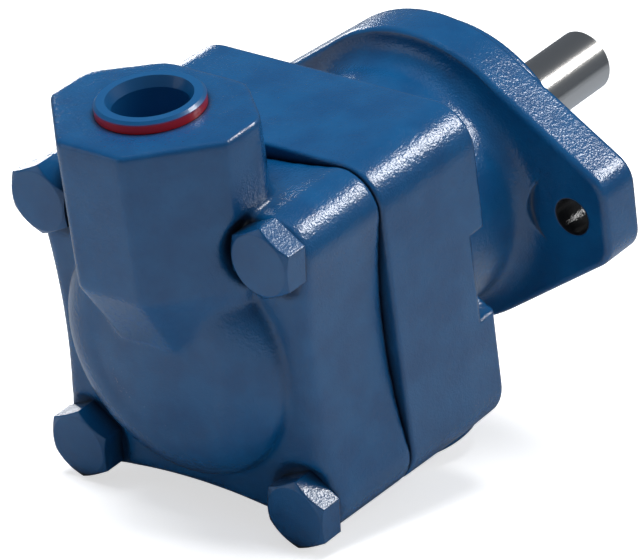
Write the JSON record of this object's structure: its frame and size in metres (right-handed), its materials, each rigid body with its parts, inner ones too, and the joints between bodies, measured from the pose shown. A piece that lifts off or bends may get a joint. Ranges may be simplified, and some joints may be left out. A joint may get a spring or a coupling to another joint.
{
  "type": "hydraulic vane pump",
  "caption": "Fixed-displacement hydraulic vane pump with a two-bolt flange, a keyed shaft, a domed square cover and a radial outlet port.",
  "frame": {"origin": "on the shaft axis, at the mounting flange's face that seats on the machine", "axes": "+Y out along the shaft's free end, +Z out of the outlet port (the inlet port faces -Z), +X to the right when looking along +Y"},
  "size_m": [0.13, 0.2105, 0.1399],
  "materials": {
    "enamel": "glossy blue enamel over a sand-cast surface",
    "machined_iron": "ground",
    "shaft_steel": "ground and polished",
    "hardened_steel": "ground",
    "bearing_steel": "polished",
    "spring_steel": "dark, oiled",
    "bronze": "machined",
    "seal_rubber": "smooth",
    "plug_plastic": "moulded red plastic"
  },
  "bodies": {
    "housing": {"body": "enamel", "cover": "enamel", "cover_bolts": "enamel", "cam_ring": "hardened_steel", "pressure_plate": "machined_iron", "locating_pins": "hardened_steel", "pressure_spring": "spring_steel", "cover_oring": "seal_rubber", "plate_oring": "seal_rubber", "shaft_bush": "bronze", "shaft_seal": "seal_rubber", "seal_garter_spring": "spring_steel", "bearing_outer_race": "bearing_steel", "housing_circlip": "spring_steel"},
    "shaft": {"drive_shaft": "shaft_steel", "rotor": "hardened_steel", "bearing_inner_race": "bearing_steel", "shaft_circlip": "spring_steel"},
    "ball_cage": {"bearing_cage": "bronze", "bearing_balls": "bearing_steel"},
    "plug": {"outlet_plug": "plug_plastic"},
    "vane_01": {"vane_01": "hardened_steel"},
    "vane_02": {"vane_02": "hardened_steel"},
    "vane_03": {"vane_03": "hardened_steel"},
    "vane_04": {"vane_04": "hardened_steel"},
    "vane_05": {"vane_05": "hardened_steel"},
    "vane_06": {"vane_06": "hardened_steel"},
    "vane_07": {"vane_07": "hardened_steel"},
    "vane_08": {"vane_08": "hardened_steel"},
    "vane_09": {"vane_09": "hardened_steel"},
    "vane_10": {"vane_10": "hardened_steel"},
    "vane_11": {"vane_11": "hardened_steel"},
    "vane_12": {"vane_12": "hardened_steel"}
  },
  "joints": [
    {"name": "shaft_spin", "type": "hinge", "parent": "housing", "child": "shaft", "pos_m": [0, 0, 0], "axis": [0, 1, 0], "continuous": true},
    {"name": "ball_cage_spin", "type": "hinge", "parent": "housing", "child": "ball_cage", "pos_m": [0, 0, 0], "axis": [0, 1, 0], "continuous": true},
    {"name": "plug_pull", "type": "slide", "parent": "housing", "child": "plug", "axis": [0, 0, 1], "range_m": [0, 0.03]},
    {"name": "vane_01_slide", "type": "slide", "parent": "shaft", "child": "vane_01", "axis": [0.9659, 0, 0.2588], "range_m": [0, 0.00059]},
    {"name": "vane_02_slide", "type": "slide", "parent": "shaft", "child": "vane_02", "axis": [0.7071, 0, 0.7071], "range_m": [0, 0.00181]},
    {"name": "vane_03_slide", "type": "slide", "parent": "shaft", "child": "vane_03", "axis": [0.2588, 0, 0.9659], "range_m": [0, 0.00334]},
    {"name": "vane_04_slide", "type": "slide", "parent": "shaft", "child": "vane_04", "axis": [-0.2588, 0, 0.9659], "range_m": [0, 0.00334]},
    {"name": "vane_05_slide", "type": "slide", "parent": "shaft", "child": "vane_05", "axis": [-0.7071, 0, 0.7071], "range_m": [0, 0.00181]},
    {"name": "vane_06_slide", "type": "slide", "parent": "shaft", "child": "vane_06", "axis": [-0.9659, 0, 0.2588], "range_m": [0, 0.00059]},
    {"name": "vane_07_slide", "type": "slide", "parent": "shaft", "child": "vane_07", "axis": [-0.9659, 0, -0.2588], "range_m": [0, 0.00059]},
    {"name": "vane_08_slide", "type": "slide", "parent": "shaft", "child": "vane_08", "axis": [-0.7071, 0, -0.7071], "range_m": [0, 0.00181]},
    {"name": "vane_09_slide", "type": "slide", "parent": "shaft", "child": "vane_09", "axis": [-0.2588, 0, -0.9659], "range_m": [0, 0.00334]},
    {"name": "vane_10_slide", "type": "slide", "parent": "shaft", "child": "vane_10", "axis": [0.2588, 0, -0.9659], "range_m": [0, 0.00334]},
    {"name": "vane_11_slide", "type": "slide", "parent": "shaft", "child": "vane_11", "axis": [0.7071, 0, -0.7071], "range_m": [0, 0.00181]},
    {"name": "vane_12_slide", "type": "slide", "parent": "shaft", "child": "vane_12", "axis": [0.9659, 0, -0.2588], "range_m": [0, 0.00059]}
  ],
  "couplings": [
    {"joint": "ball_cage_spin", "follows": "shaft_spin", "ratio": 0.3969}
  ]
}
